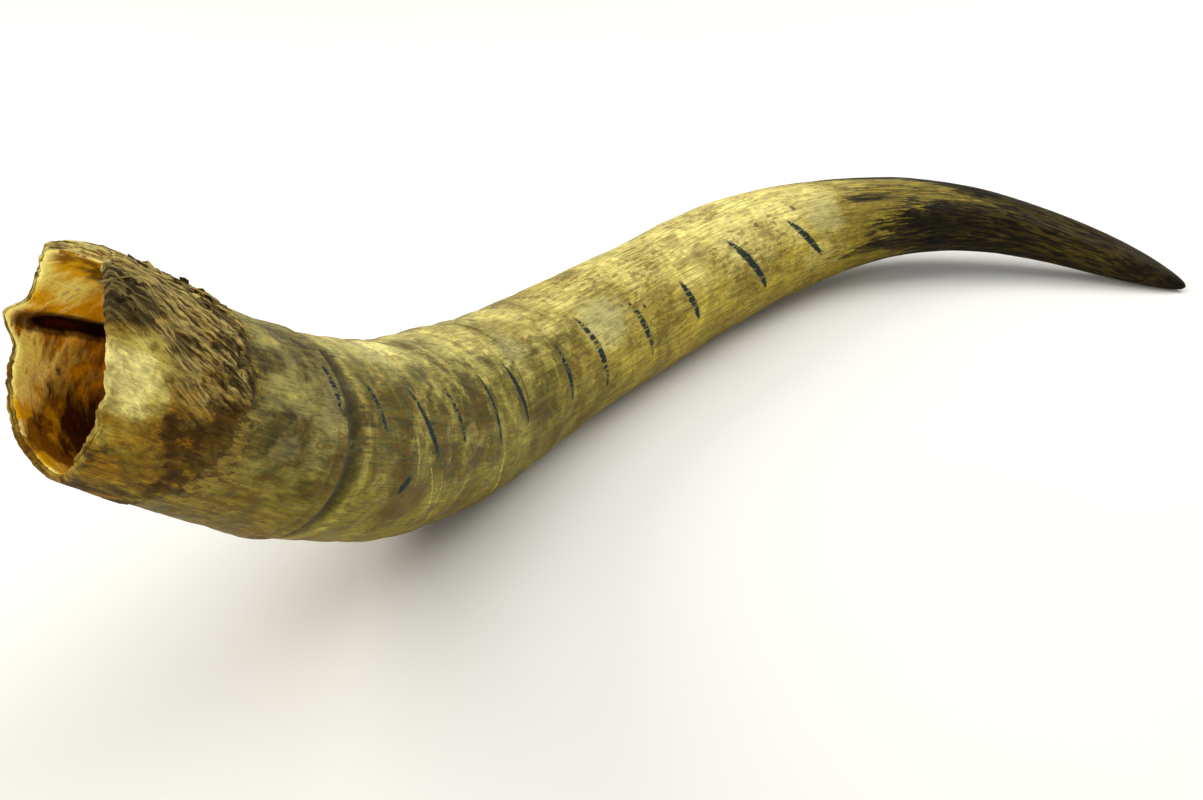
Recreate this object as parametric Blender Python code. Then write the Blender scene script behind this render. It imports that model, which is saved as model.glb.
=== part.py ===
"""Watusi horn: one hollow sheath of horn lying on its belly and its tip.

The broken, open base hangs clear of the surface at -X and the solid tip points to +X.
Metres, +Z up.
"""
import bmesh
import bpy
import numpy as np

# Stations of the centreline from the base to the tip: x, y, height of the centre, outer radius.
STATIONS = (
    (-0.495, -0.002, 0.252, 0.0530),
    (-0.385, 0.024, 0.172, 0.0550),
    (-0.290, 0.072, 0.113, 0.0595),
    (-0.187, 0.126, 0.070, 0.0595),
    (-0.050, 0.175, 0.051, 0.0520),
    (0.128, 0.213, 0.0490, 0.0490),
    (0.304, 0.221, 0.048, 0.0400),
    (0.411, 0.171, 0.0438, 0.0286),
    (0.509, -0.001, 0.0040, 0.0123),
)

# Vertices around a section, and how the rings are spaced: from, to, count, along the horn.
AROUND = 42
RING_RUNS = (
    (0.000, 0.050, 10),
    (0.054, 0.066, 5),
    (0.073, 0.135, 9),
    (0.141, 0.160, 7),
    (0.170, 0.400, 18),
    (0.416, 0.860, 28),
    (0.878, 1.130, 15),
)
TIP_CAP_RINGS = 9

# Broken rim: a slanted cut that reaches furthest out at one angle, with small chips.
RIM_OFFSET = -0.007
RIM_SLANT = 0.023
RIM_SLANT_ANGLE = 50.0
RIM_BLEND = 0.060
RIM_CHIP = 0.0012

# Larger bites into the rim, and points that stand out of it: angle, half width, how far in.
RIM_BREAKS = (
    (5.0, 14.0, 0.013),
    (75.0, 20.0, -0.005),
    (184.0, 22.0, 0.008),
    (235.0, 20.0, -0.004),
    (281.0, 8.5, -0.011),
    (330.0, 24.0, -0.007),
)

# Two ring ledges, where an older layer of horn ends: distance along, drop, groove after it.
FIRST_LEDGE = 0.060
FIRST_LEDGE_DROP = 0.0022
SECOND_LEDGE = 0.148
SECOND_LEDGE_DROP = 0.0020
SECOND_GROOVE = 0.0019
SECOND_GROOVE_WIDTH = 0.0065
SECOND_LEDGE_SLANT = 0.010
FAINT_LEDGE = 0.410
FAINT_LEDGE_DROP = 0.0008

# Torn plates of the outer layer beside the rim, and the fold along the far wall.
PLATE_HEIGHT = 0.0016
PLATE_REACH = 0.075
FOLD_ANGLE = 284.0
FOLD_HALF_WIDTH = 11.0
FOLD_OUT = 0.0030
FOLD_REACH = 0.160

# Slow lumps of the growing horn, and the flutes of the tip.
LUMP = 0.0011
FLUTE = 0.0007
FLUTES = 7
FLUTES_FROM = 0.860

# Hollow: wall at the rim, wall deeper in, and how far the hollow reaches.
WALL_AT_RIM = 0.0036
WALL_DEEP = 0.0090
HOLLOW_DEPTH = 0.620
HOLLOW_RINGS = 15
HOLLOW_END_RADIUS = 0.004

# The underside is rubbed flat this far up where the horn lies on it.
RUBBED = 0.0010


def natural_spline(knots, values, at):
    """Natural cubic spline through the rows of values, with its first derivative."""
    count = len(knots)
    gap = np.diff(knots)
    matrix = np.zeros((count, count))
    right = np.zeros((count, values.shape[1]))
    matrix[0, 0] = 1.0
    matrix[-1, -1] = 1.0
    for i in range(1, count - 1):
        matrix[i, i - 1] = gap[i - 1]
        matrix[i, i] = 2.0 * (gap[i - 1] + gap[i])
        matrix[i, i + 1] = gap[i]
        after = (values[i + 1] - values[i]) / gap[i]
        before = (values[i] - values[i - 1]) / gap[i - 1]
        right[i] = 6.0 * (after - before)
    bend = np.linalg.solve(matrix, right)
    cell = np.clip(np.searchsorted(knots, at, side="right") - 1, 0, count - 2)
    width = gap[cell][:, None]
    high = (at - knots[cell])[:, None] / width
    low = 1.0 - high
    place = low * values[cell] + high * values[cell + 1]
    place += (low ** 3 - low) * bend[cell] * width ** 2 / 6.0
    place += (high ** 3 - high) * bend[cell + 1] * width ** 2 / 6.0
    slope = (values[cell + 1] - values[cell]) / width
    slope -= (3.0 * low ** 2 - 1.0) * bend[cell] * width / 6.0
    slope += (3.0 * high ** 2 - 1.0) * bend[cell + 1] * width / 6.0
    return place, slope


class Centreline:
    """The horn's path by length, with a radius and an upright frame at each place."""

    def __init__(self, stations):
        rows = np.array(stations)
        steps = np.linalg.norm(np.diff(rows[:, :3], axis=0), axis=1)
        self.knots = np.concatenate([[0.0], np.cumsum(steps)])
        self.rows = rows
        fine = np.linspace(0.0, self.knots[-1], 2001)
        places, _ = natural_spline(self.knots, rows, fine)
        run = np.linalg.norm(np.diff(places[:, :3], axis=0), axis=1)
        self.fine = fine
        self.length_at_fine = np.concatenate([[0.0], np.cumsum(run)])
        self.length = self.length_at_fine[-1]

    def frame(self, along):
        """Centre, tangent, up, near side and radius at lengths that may start before zero."""
        inside = np.clip(along, 0.0, self.length)
        knot = np.interp(inside, self.length_at_fine, self.fine)
        place, slope = natural_spline(self.knots, self.rows, knot)
        tangent = slope[:, :3] / np.linalg.norm(slope[:, :3], axis=1)[:, None]
        centre = place[:, :3] + tangent * (along - inside)[:, None]
        up = np.array([0.0, 0.0, 1.0]) - tangent * tangent[:, 2:3]
        up /= np.linalg.norm(up, axis=1)[:, None]
        near = np.cross(tangent, up)
        return centre, tangent, up, near, place[:, 3]


def ease(value):
    """Smooth step from 0 to 1."""
    value = np.clip(value, 0.0, 1.0)
    return value * value * (3.0 - 2.0 * value)


def hill(offset, half_width):
    """Smooth hill of height 1 at offset 0."""
    return np.exp(-(offset / half_width) ** 2)


def turn(angle, centre):
    """Signed difference of two angles in degrees."""
    return (angle - centre + 180.0) % 360.0 - 180.0


def rim_line(angle):
    """How far along the path the broken rim lies at each angle."""
    a = np.radians(angle)
    line = RIM_OFFSET - RIM_SLANT * np.cos(a - np.radians(RIM_SLANT_ANGLE))
    for middle, half_width, inwards in RIM_BREAKS:
        line += inwards * hill(turn(angle, middle), half_width)
    line += RIM_CHIP * (np.sin(5.0 * a + 0.7) + 0.8 * np.sin(9.0 * a + 2.1))
    return line


def along_path(step, angle):
    """Length along the path of ring `step`: rings follow the rim and the slant of the ledges."""
    a = np.radians(angle)
    along = step + rim_line(angle) * (1.0 - ease(step / RIM_BLEND))
    first = 0.006 * np.cos(2.0 * (a - np.radians(62.0)))
    along += first * hill(step - FIRST_LEDGE, 0.022)
    second = -SECOND_LEDGE_SLANT * np.cos(a - np.radians(15.0))
    along += second * hill(step - SECOND_LEDGE, 0.040)
    return along


def ledges(step, angle):
    """Older layers stand proud up to each ledge and end in a step."""
    a = np.radians(angle)
    first = FIRST_LEDGE_DROP * (1.0 + 0.35 * np.cos(a - 0.6))
    height = first * (1.0 - ease((step - FIRST_LEDGE + 0.003) / 0.006))
    second = SECOND_LEDGE_DROP * (1.0 + 0.25 * np.cos(a - 1.9))
    rise = ease((step - 0.110) / 0.034)
    height += second * rise * (1.0 - ease((step - SECOND_LEDGE) / 0.005))
    groove = SECOND_GROOVE * hill(step - SECOND_LEDGE - SECOND_GROOVE_WIDTH, SECOND_GROOVE_WIDTH)
    height -= groove
    rise = ease((step - 0.340) / 0.060)
    height += FAINT_LEDGE_DROP * rise * (1.0 - ease((step - FAINT_LEDGE) / 0.020))
    return height


def plates(step, angle):
    """Torn plates of the outer layer on the upper and near side of the base."""
    a = np.radians(angle)
    ripple = np.sin(4.0 * a + 90.0 * step) + np.sin(7.0 * a - 120.0 * step + 1.3)
    ripple += 0.7 * np.sin(2.0 * a + 190.0 * step + 4.0)
    where = ease(0.55 + 0.75 * np.cos(a - np.radians(35.0)))
    reach = 1.0 - ease((step - PLATE_REACH + 0.020) / 0.030)
    return PLATE_HEIGHT * (ease(0.5 + 0.5 * ripple) - 0.45) * where * reach


def lumps(step, angle):
    """Slow swellings of the growing horn, and the flutes of the tip."""
    a = np.radians(angle)
    soft = np.sin(2.0 * a + 19.0 * step) + np.sin(3.0 * a - 31.0 * step + 2.0)
    height = LUMP * 0.5 * soft * (1.0 - ease((step - 0.95) / 0.2))
    rings = np.sin(150.0 * step + 0.8 * np.sin(2.0 * a))
    height += LUMP * 0.35 * rings * ease((step - 0.16) / 0.05) * (1.0 - ease((step - 0.40) / 0.20))
    fluted = ease((step - FLUTES_FROM) / 0.10) * (1.0 - ease((step - 1.12) / 0.06))
    height += FLUTE * fluted * np.cos(FLUTES * a + 5.0 * step)
    return height


def fold(step, angle):
    """Outward fold along the far wall of the base."""
    return hill(turn(angle, FOLD_ANGLE), FOLD_HALF_WIDTH) * (1.0 - ease(step / FOLD_REACH))


def section(line, step, angle, change):
    """Points of one ring of the outer skin or of the hollow."""
    along = along_path(step, angle)
    centre, tangent, up, near, radius = line.frame(along)
    a = np.radians(angle)
    out = up * np.cos(a)[:, None] + near * np.sin(a)[:, None]
    return centre + out * (radius + change)[:, None]


def outer_rings(line, angle):
    """Rings of the outer skin, from the rim to the tip."""
    steps = np.concatenate([np.linspace(start, stop, count) for start, stop, count in RING_RUNS])
    rings = []
    for step in steps:
        every = np.full(AROUND, step)
        change = ledges(every, angle) + plates(every, angle) + lumps(every, angle)
        change += FOLD_OUT * fold(every, angle)
        rings.append(section(line, every, angle, change))
    last = line.length - steps[-1]
    for i in range(1, TIP_CAP_RINGS + 1):
        share = 1.0 - (1.0 - i / (TIP_CAP_RINGS + 1)) ** 1.5
        every = np.full(AROUND, steps[-1] + last * share)
        _, _, _, _, radius = line.frame(every)
        shrink = -radius * (1.0 - np.sqrt(1.0 - (0.97 * share) ** 2))
        rings.append(section(line, every, angle, shrink))
    return rings


def hollow_rings(line, angle):
    """Rings of the hollow, from the rim inwards."""
    rings = []
    for i in range(HOLLOW_RINGS):
        share = i / (HOLLOW_RINGS - 1)
        step = HOLLOW_DEPTH * share ** 1.35
        every = np.full(AROUND, step)
        _, _, _, _, radius = line.frame(along_path(every, angle))
        wall = WALL_AT_RIM + (WALL_DEEP - WALL_AT_RIM) * ease(share)
        room = radius - wall + FOLD_OUT * fold(every, angle) * 1.4
        taper = np.sqrt(np.clip(1.0 - share ** 2.6, 0.0, 1.0))
        inside = np.maximum(room * taper, HOLLOW_END_RADIUS)
        rings.append(section(line, every, angle, inside - radius))
    return rings


def build_horn(line):
    """Loft the outer skin and the hollow into one closed solid."""
    angle = np.arange(AROUND) * 360.0 / AROUND
    outer = outer_rings(line, angle)
    inner = hollow_rings(line, angle)
    lip = 0.5 * (outer[0] + inner[0])
    into = section(line, np.full(AROUND, 0.01), angle, 0.0) - section(line, np.zeros(AROUND), angle, 0.0)
    lip -= 0.0008 * into / np.linalg.norm(into, axis=1)[:, None]
    rings = inner[::-1] + [lip] + outer
    tip_centre, tip_tangent, _, _, _ = line.frame(np.array([line.length]))
    hollow_centre, hollow_tangent, _, _, _ = line.frame(np.array([HOLLOW_DEPTH]))
    tip = tip_centre[0]
    hollow_end = hollow_centre[0] + 0.002 * hollow_tangent[0]

    points = np.vstack(rings + [tip[None, :], hollow_end[None, :]])
    low = points[:, 2].min() + RUBBED
    points[:, 2] = np.maximum(points[:, 2], low) - low
    middle = 0.5 * (points[:, :2].min(axis=0) + points[:, :2].max(axis=0))
    points[:, :2] -= middle

    mesh = bmesh.new()
    verts = [mesh.verts.new(point) for point in points]
    for ring in range(len(rings) - 1):
        first = ring * AROUND
        second = first + AROUND
        for i in range(AROUND):
            j = (i + 1) % AROUND
            mesh.faces.new((verts[first + i], verts[second + i], verts[second + j], verts[first + j]))
    last = (len(rings) - 1) * AROUND
    for i in range(AROUND):
        j = (i + 1) % AROUND
        mesh.faces.new((verts[last + i], verts[-2], verts[last + j]))
        mesh.faces.new((verts[j], verts[-1], verts[i]))
    bmesh.ops.triangulate(mesh, faces=mesh.faces[:], quad_method="SHORT_EDGE")
    bmesh.ops.recalc_face_normals(mesh, faces=mesh.faces[:])
    for face in mesh.faces:
        face.smooth = True
    data = bpy.data.meshes.new("horn")
    mesh.to_mesh(data)
    mesh.free()
    return data


def horn_material():
    """Plain yellow-brown horn."""
    material = bpy.data.materials.new("horn")
    material.use_nodes = True
    shader = material.node_tree.nodes["Principled BSDF"]
    shader.inputs["Base Color"].default_value = (0.36, 0.27, 0.11, 1.0)
    shader.inputs["Roughness"].default_value = 0.55
    return material


def main():
    for item in list(bpy.data.objects):
        bpy.data.objects.remove(item, do_unlink=True)
    group = bpy.data.collections.new("watusi_horn")
    bpy.context.scene.collection.children.link(group)
    line = Centreline(STATIONS)
    horn = bpy.data.objects.new("horn", build_horn(line))
    horn.data.materials.append(horn_material())
    group.objects.link(horn)


main()
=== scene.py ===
import math

import bmesh
import bpy
import numpy as np
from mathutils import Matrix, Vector


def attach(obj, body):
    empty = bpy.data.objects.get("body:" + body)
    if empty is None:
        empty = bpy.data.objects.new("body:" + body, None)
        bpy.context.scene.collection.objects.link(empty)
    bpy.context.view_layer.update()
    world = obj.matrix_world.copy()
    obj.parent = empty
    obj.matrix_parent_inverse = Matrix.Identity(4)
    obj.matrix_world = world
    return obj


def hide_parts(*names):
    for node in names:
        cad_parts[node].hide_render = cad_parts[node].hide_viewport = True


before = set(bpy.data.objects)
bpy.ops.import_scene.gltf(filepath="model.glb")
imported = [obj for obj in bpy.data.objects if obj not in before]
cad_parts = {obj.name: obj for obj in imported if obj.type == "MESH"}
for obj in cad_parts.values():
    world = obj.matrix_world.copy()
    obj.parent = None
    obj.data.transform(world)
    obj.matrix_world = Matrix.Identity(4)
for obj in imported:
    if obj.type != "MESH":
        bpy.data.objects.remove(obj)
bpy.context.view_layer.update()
print("stage: frame loaded")


# Formulas in node trees

class Wire:
    # One output in a node tree, so that a formula reads as it would on paper.
    def __init__(self, tree, socket):
        self.tree = tree
        self.socket = socket

    def math(self, operation, second=None, third=None, clamp=False):
        node = self.tree.nodes.new("ShaderNodeMath")
        node.operation = operation
        node.use_clamp = clamp
        self.tree.links.new(self.socket, node.inputs[0])
        for place, value in ((1, second), (2, third)):
            if value is not None:
                plug(node.inputs[place], value)
        return Wire(self.tree, node.outputs[0])

    def __add__(self, other):
        return self.math("ADD", other)

    def __sub__(self, other):
        return self.math("SUBTRACT", other)

    def __mul__(self, other):
        return self.math("MULTIPLY", other)

    def __truediv__(self, other):
        return self.math("DIVIDE", other)

    def clamped(self):
        return self.math("ADD", 0.0, clamp=True)

    def flipped(self):
        return self.math("MULTIPLY", -1.0).math("ADD", 1.0)

    def ease(self, low, high):
        # Smooth step: 0 below low, 1 above high.
        node = self.tree.nodes.new("ShaderNodeMapRange")
        node.interpolation_type = "SMOOTHSTEP"
        plug(node.inputs["Value"], self)
        plug(node.inputs["From Min"], low)
        plug(node.inputs["From Max"], high)
        return Wire(self.tree, node.outputs["Result"])

    def fall(self, low, high):
        return self.ease(low, high).flipped()

    def hill(self, centre, halfWidth):
        scaled = (self - centre) / halfWidth
        return (scaled * scaled * -1.0).math("EXPONENT")

    def facing(self, degrees):
        # For a wire that holds an angle in radians: 1 at this angle, -1 on the side across from it.
        return (self - math.radians(degrees)).math("COSINE")

    def lobe(self, degrees, halfWidth):
        # Smooth hill round an angle.
        sharp = 2.0 / math.radians(halfWidth) ** 2
        return ((self.facing(degrees) - 1.0) * sharp).math("EXPONENT")

    def wave(self, count, phase=0.0):
        return (self * count + phase).math("SINE")


def plug(socket, value):
    if isinstance(value, Wire):
        value.tree.links.new(value.socket, socket)
    else:
        socket.default_value = value


def joinXyz(x, y, z):
    node = x.tree.nodes.new("ShaderNodeCombineXYZ")
    for place, value in enumerate((x, y, z)):
        plug(node.inputs[place], value)
    return Wire(x.tree, node.outputs[0])


def roundAxis(reach, turn, along):
    # The place as if the horn were straight.
    return joinXyz(reach * turn.math("COSINE"), reach * turn.math("SINE"), along)


def splitXyz(vector):
    node = vector.tree.nodes.new("ShaderNodeSeparateXYZ")
    plug(node.inputs[0], vector)
    return [Wire(vector.tree, socket) for socket in node.outputs]


def vectorMath(operation, first, second=None, scale=None):
    node = first.tree.nodes.new("ShaderNodeVectorMath")
    node.operation = operation
    plug(node.inputs[0], first)
    if second is not None:
        plug(node.inputs[1], second)
    if scale is not None:
        plug(node.inputs["Scale"], scale)
    return Wire(first.tree, node.outputs["Vector"])


def noiseNode(vector, scale, detail, roughness):
    node = vector.tree.nodes.new("ShaderNodeTexNoise")
    for label, value in (("Vector", vector), ("Scale", scale), ("Detail", detail), ("Roughness", roughness)):
        plug(node.inputs[label], value)
    return node


def noise(vector, scale, detail=3.0, roughness=0.5, stretch=None, offset=0.0):
    # Noise with its mean near 0.5; stretch below 1 draws the pattern out along that axis.
    if stretch:
        vector = vectorMath("MULTIPLY", vector, stretch)
    if offset:
        vector = vectorMath("ADD", vector, (offset, offset * 0.7, offset * 1.3))
    return Wire(vector.tree, noiseNode(vector, scale, detail, roughness).outputs[0])


def warped(vector, scale, amount):
    # The place moved about by noise, for curled fibres and ragged edges.
    moved = Wire(vector.tree, noiseNode(vector, scale, 3.0, 0.5).outputs["Color"])
    centred = vectorMath("SUBTRACT", moved, (0.5, 0.5, 0.5))
    return vectorMath("ADD", vector, vectorMath("SCALE", centred, scale=amount))


def tone(code):
    # Colour from six hexadecimal figures, made linear.
    parts = [int(code[i:i + 2], 16) / 255.0 for i in (0, 2, 4)]
    return tuple(c / 12.92 if c < 0.04045 else ((c + 0.055) / 1.055) ** 2.4 for c in parts) + (1.0,)


def blend(share, under, over, kind="MIX"):
    # One colour over another; a colour is a wire or six hexadecimal figures.
    tree = next(value.tree for value in (share, under) if isinstance(value, Wire))
    node = tree.nodes.new("ShaderNodeMix")
    node.data_type = "RGBA"
    node.blend_type = kind
    node.clamp_factor = True
    for place, value in ((0, share), (6, under), (7, over)):
        plug(node.inputs[place], tone(value) if isinstance(value, str) else value)
    return Wire(tree, node.outputs[2])


# The horn's path: x, y, height of the centre, outer radius, from the base to the tip

pathStations = (
    (-0.495, -0.002, 0.252, 0.0530),
    (-0.385, 0.024, 0.172, 0.0550),
    (-0.290, 0.072, 0.113, 0.0595),
    (-0.187, 0.126, 0.070, 0.0595),
    (-0.050, 0.175, 0.051, 0.0520),
    (0.128, 0.213, 0.049, 0.0490),
    (0.304, 0.221, 0.048, 0.0400),
    (0.411, 0.171, 0.0438, 0.0286),
    (0.509, -0.001, 0.0040, 0.0123),
)
pathShift = (0.0036, -0.1046, 0.0002)   # puts the path into the frame's box
pathLead = 0.060                        # straight run before the first station, for the slanted rim


def addObject(name, data):
    thing = bpy.data.objects.new(name, data)
    bpy.context.scene.collection.objects.link(thing)
    return thing


def naturalSpline(knots, values, at):
    count = len(knots)
    gap = np.diff(knots)
    matrix = np.zeros((count, count))
    right = np.zeros((count, values.shape[1]))
    matrix[0, 0] = 1.0
    matrix[-1, -1] = 1.0
    for i in range(1, count - 1):
        matrix[i, i - 1:i + 2] = gap[i - 1], 2.0 * (gap[i - 1] + gap[i]), gap[i]
        right[i] = 6.0 * ((values[i + 1] - values[i]) / gap[i] - (values[i] - values[i - 1]) / gap[i - 1])
    bend = np.linalg.solve(matrix, right)
    cell = np.clip(np.searchsorted(knots, at, side="right") - 1, 0, count - 2)
    width = gap[cell][:, None]
    high = (at - knots[cell])[:, None] / width
    low = 1.0 - high
    place = low * values[cell] + high * values[cell + 1]
    place += (low ** 3 - low) * bend[cell] * width ** 2 / 6.0
    return place + (high ** 3 - high) * bend[cell + 1] * width ** 2 / 6.0


def makePath():
    rows = np.array(pathStations)
    rows[:, :3] += pathShift
    knots = np.concatenate([[0.0], np.cumsum(np.linalg.norm(np.diff(rows[:, :3], axis=0), axis=1))])
    places = naturalSpline(knots, rows, np.linspace(0.0, knots[-1], 500))
    start = places[0] - places[1]
    lead = places[0].copy()
    lead[:3] += start[:3] / np.linalg.norm(start[:3]) * pathLead
    places = np.vstack([lead, places])
    data = bpy.data.curves.new("horn path", "CURVE")
    data.dimensions = "3D"
    spline = data.splines.new("POLY")
    spline.points.add(len(places) - 1)
    for point, place in zip(spline.points, places):
        point.co = (*place[:3], 1.0)
        point.radius = place[3]
    length = float(np.linalg.norm(np.diff(places[1:, :3], axis=0), axis=1).sum())
    return addObject("hornPath", data), length


# Main piece: the sheath

sheathShape = {
    "rows": 430,                # rings, from the end of the hollow over the rim to the tip
    "around": 212,
    "hollowShare": 0.17,        # share of the rings that line the hollow
    "hollowDepth": 0.620,
    "wallAtRim": 0.0036,
    "wallDeep": 0.0090,
    "rimOffset": -0.007,
    "rimSlant": 0.023,
    "rimSlantAngle": 50.0,
    "rimBlend": 0.060,
    "rimChip": 0.0012,
    "rimFray": 0.0085,
    "firstLedge": 0.060,
    "firstLedgeDrop": 0.0022,
    "secondLedge": 0.148,
    "secondLedgeDrop": 0.0020,
    "secondGroove": 0.0019,
    "plateHeight": 0.0027,
    "barkTwist": 8.0,           # how far the torn strands turn round the horn, radians for each metre
    "foldOut": 0.0030,
    "lump": 0.0011,
    "flute": 0.0007,
    "edgeRag": 0.030,
    "ringRelief": 0.0014,
    "dents": 0.0016,
    "flakeCount": 26000.0,      # loose flakes for each square metre of torn bark
    "flakeCurl": 0.0026,
    "seed": 3,
}
rimBreaks = (                   # angle, half width, how far in: bites, and points that stand out
    (5.0, 14.0, 0.013),
    (75.0, 20.0, -0.005),
    (98.0, 4.0, 0.003),
    (184.0, 22.0, 0.008),
    (235.0, 20.0, -0.004),
    (281.0, 8.5, -0.011),
    (330.0, 24.0, -0.007),
)
usualRadius = 0.045             # turns the size of a pit into an angle
ledgeLean = 0.010               # how far the second old edge leans round the horn
weldReach = 0.00002
foldAngle = 284.0
creaseAngle = 281.0             # of the crease inside the fold, at the rim
creaseTwist = 4.1               # how far the crease turns round the hollow, radians for each metre
tipStart = 1.130                # where the horn starts to round off
lipReach = 0.003                # how far back the rim's edge is rounded
flakeBlank = (0.0105, 0.0030, 0.00045)      # length, width and height of a whole flake
flakeSink = 0.0003              # how deep a flake stands in the bark
surfacePits = (                 # distance along, angle, size, depth
    (0.777, 36.0, 0.0035, 0.0010),
    (0.832, 30.0, 0.0050, 0.0014),
    (0.608, 54.0, 0.0030, 0.0012),
    (0.012, 52.0, 0.0060, 0.0022),
    (0.020, 62.0, 0.0050, 0.0018),
    (0.046, 68.0, 0.0060, 0.0016),
)


def rimLine(turn, given, fray):
    highest = turn - given["rimSlantAngle"] * (math.pi / 180.0)
    line = given["rimOffset"] - given["rimSlant"] * highest.math("COSINE")
    for degrees, halfWidth, inwards in rimBreaks:
        line = line + turn.lobe(degrees, halfWidth) * inwards
    line = line + given["rimChip"] * (turn.wave(5.0, 0.7) + turn.wave(9.0, 2.1) * 0.8)
    return line + fray * given["rimFray"]


def alongPath(step, turn, rim, given):
    along = step + rim * step.fall(0.0, given["rimBlend"])
    first = (turn * 2.0).facing(124.0) * 0.006
    along = along + first * step.hill(given["firstLedge"], 0.022)
    second = turn.facing(15.0) * -ledgeLean
    return along + second * step.hill(given["secondLedge"], 0.040)


def barkEdge(step, spot, given):
    # Distance past the ragged line where the torn bark ends.
    return step - given["firstLedge"] + (noise(spot, 60.0, 5.0, 0.68) - 0.5) * given["edgeRag"]


def ledgeRelief(step, turn, spot, edge, given):
    # Two old edges where the outer layers end; the first is ragged, the second has a groove behind it.
    first = given["firstLedgeDrop"] * ((turn - 0.6).math("COSINE") * 0.35 + 1.0)
    height = first * edge.fall(-0.0020, 0.0015)
    ragged = noise(spot, 80.0, 4.0, 0.65) - 0.5
    offset = step - given["secondLedge"] + ragged * 0.0012
    second = given["secondLedgeDrop"] * ((turn - 1.9).math("COSINE") * 0.25 + 1.0)
    height = height + second * step.ease(0.110, 0.144) * offset.fall(-0.002, 0.0035)
    height = height - given["secondGroove"] * offset.hill(0.0065, 0.0058)
    height = height - given["secondGroove"] * 0.35 * offset.hill(-0.009, 0.0025)
    return height + step.ease(0.34, 0.40) * (step + ragged * 0.002).fall(0.411, 0.416) * 0.0008


def barkRelief(step, turn, barkFlow, torn, edge, given):
    # Torn, layered bark on the upper and near side of the base.
    where = (turn.facing(35.0) * 0.75 + 0.55).ease(0.0, 1.0)
    layers = torn.ease(0.42, 0.44) * 0.4 + torn.ease(0.50, 0.52) * 0.35 + torn.ease(0.58, 0.60) * 0.35
    strands = noise(barkFlow, 360.0, 3.0, 0.65, (1.0, 1.0, 0.11))
    height = (layers - 0.45 + (strands - 0.5) * 0.8) * where * edge.fall(-0.004, 0.002)
    return given["plateHeight"] * height * (step.ease(0.0, 0.006) * 0.8 + 0.2)


def growthRelief(step, turn, spot, given):
    # Slow swellings, soft rings, flutes near the tip and the grain.
    soft = (turn * 2.0 + step * 19.0).math("SINE") + (turn * 3.0 - step * 31.0 + 2.0).math("SINE")
    height = given["lump"] * 0.5 * soft * step.fall(0.95, 1.15)
    rings = (step * 150.0 + (turn * 2.0).math("SINE") * 0.8).math("SINE")
    height = height + given["lump"] * 0.45 * rings * step.ease(0.16, 0.21) * step.fall(0.40, 0.60)
    fluted = step.ease(0.86, 0.96) * step.fall(1.12, 1.18)
    height = height + given["flute"] * fluted * (turn * 7.0 + step * 5.0).math("COSINE")
    lines = noise(spot, 95.0, 4.0, 0.6, (0.12, 0.12, 1.0)) - 0.5
    height = height + lines * given["ringRelief"] * step.fall(0.65, 0.90)
    grain = noise(spot, 260.0, 3.0, 0.55, (1.0, 1.0, 0.06)) - 0.5
    dents = noise(spot, 38.0, 3.0, 0.5, (1.0, 1.0, 0.6), 3.0) - 0.5
    height = height + dents * given["dents"] * step.fall(0.95, 1.12)
    return height + grain * (step.ease(0.45, 0.95) * 0.0012 + 0.0006) * step.fall(1.16, 1.20)


def scarShape(along, turn, halfWidth):
    # A raised pale scar that slants a little across the horn.
    slanted = along - 0.770 - (turn - math.radians(30.0)) * 0.02
    return slanted.hill(0.0, 0.020) * turn.lobe(27.0, halfWidth)


def pitRelief(along, turn):
    total = scarShape(along, turn, 4.0) * 0.0010
    for place, degrees, size, depth in surfacePits:
        halfWidth = math.degrees(size / usualRadius)
        total = total - along.hill(place, size) * turn.lobe(degrees, halfWidth) * depth
    return total


def flakeSize(along, turn, inside):
    # Length, width and height of a flake; no length where the bark is whole.
    curls = along.ease(0.032, 0.040) * along.fall(0.070, 0.082) * turn.lobe(62.0, 26.0).ease(0.2, 0.5)
    strands = along.ease(0.002, 0.012) * along.fall(0.055, 0.070) * turn.lobe(5.0, 30.0).ease(0.2, 0.5)
    shreds = along.fall(-0.012, 0.000) * along.ease(-0.036, -0.030) * turn.lobe(46.0, 18.0).ease(0.2, 0.5)
    size = joinXyz(
        curls * 0.8 + strands * 1.0 + shreds * 1.2,
        curls * 1.0 + strands * 1.1 + shreds * 0.6,
        curls * 0.8 + strands * 0.45 + shreds * 1.1)
    return vectorMath("SCALE", size, scale=inside.flipped())


def inUse(sockets, name):
    # Of the sockets that share a name, the one that the node's kind of data uses.
    return next(socket for socket in sockets if socket.name == name and socket.enabled)


def namedField(tree, name, kind):
    node = tree.nodes.new("GeometryNodeInputNamedAttribute")
    node.data_type = kind
    node.inputs["Name"].default_value = name
    return Wire(tree, inUse(node.outputs, "Attribute"))


def randomVector(tree, low, high, seed):
    node = tree.nodes.new("FunctionNodeRandomValue")
    node.data_type = "FLOAT_VECTOR"
    node.inputs["Min"].default_value = low
    node.inputs["Max"].default_value = high
    plug(node.inputs["Seed"], seed)
    return Wire(tree, node.outputs["Value"])


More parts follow.
